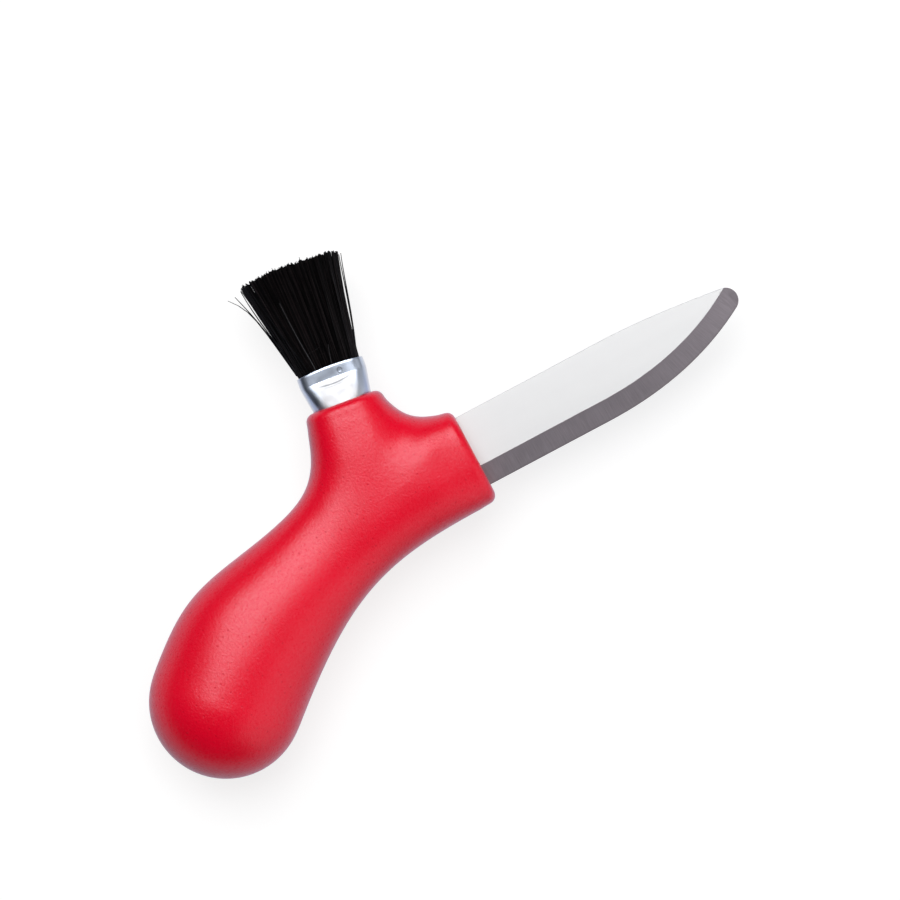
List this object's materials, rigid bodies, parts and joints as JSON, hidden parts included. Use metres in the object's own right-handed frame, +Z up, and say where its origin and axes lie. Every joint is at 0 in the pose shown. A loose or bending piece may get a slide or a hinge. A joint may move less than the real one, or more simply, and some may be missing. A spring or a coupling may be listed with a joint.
{
  "type": "mushroom knife",
  "caption": "Mushroom knife with a short curved blade, a moulded bulb-ended palm handle and a stiff bristle brush in a crimped ferrule on a side collar.",
  "frame": {"origin": "centre of the bounding box on the surface the knife lies on", "axes": "+X along the blade to its tip, +Y towards the blade's spine and the brush, +Z up, across the knife's thickness"},
  "size_m": [0.16, 0.0966, 0.0278],
  "materials": {
    "red_plastic": "fine moulded grain, satin",
    "blade_steel": "satin flats, ground bevels",
    "ferrule_metal": "bright drawn sheet",
    "setting_resin": "cast resin",
    "black_bristle": "fine black bristle, slight sheen"
  },
  "bodies": {
    "root": {"handle": "red_plastic", "blade": "blade_steel", "ferrule": "ferrule_metal", "bristle_setting": "setting_resin", "bristle_tuft_1": "black_bristle", "bristle_tuft_2": "black_bristle", "bristle_tuft_3": "black_bristle", "bristle_tuft_4": "black_bristle"}
  },
  "joints": []
}
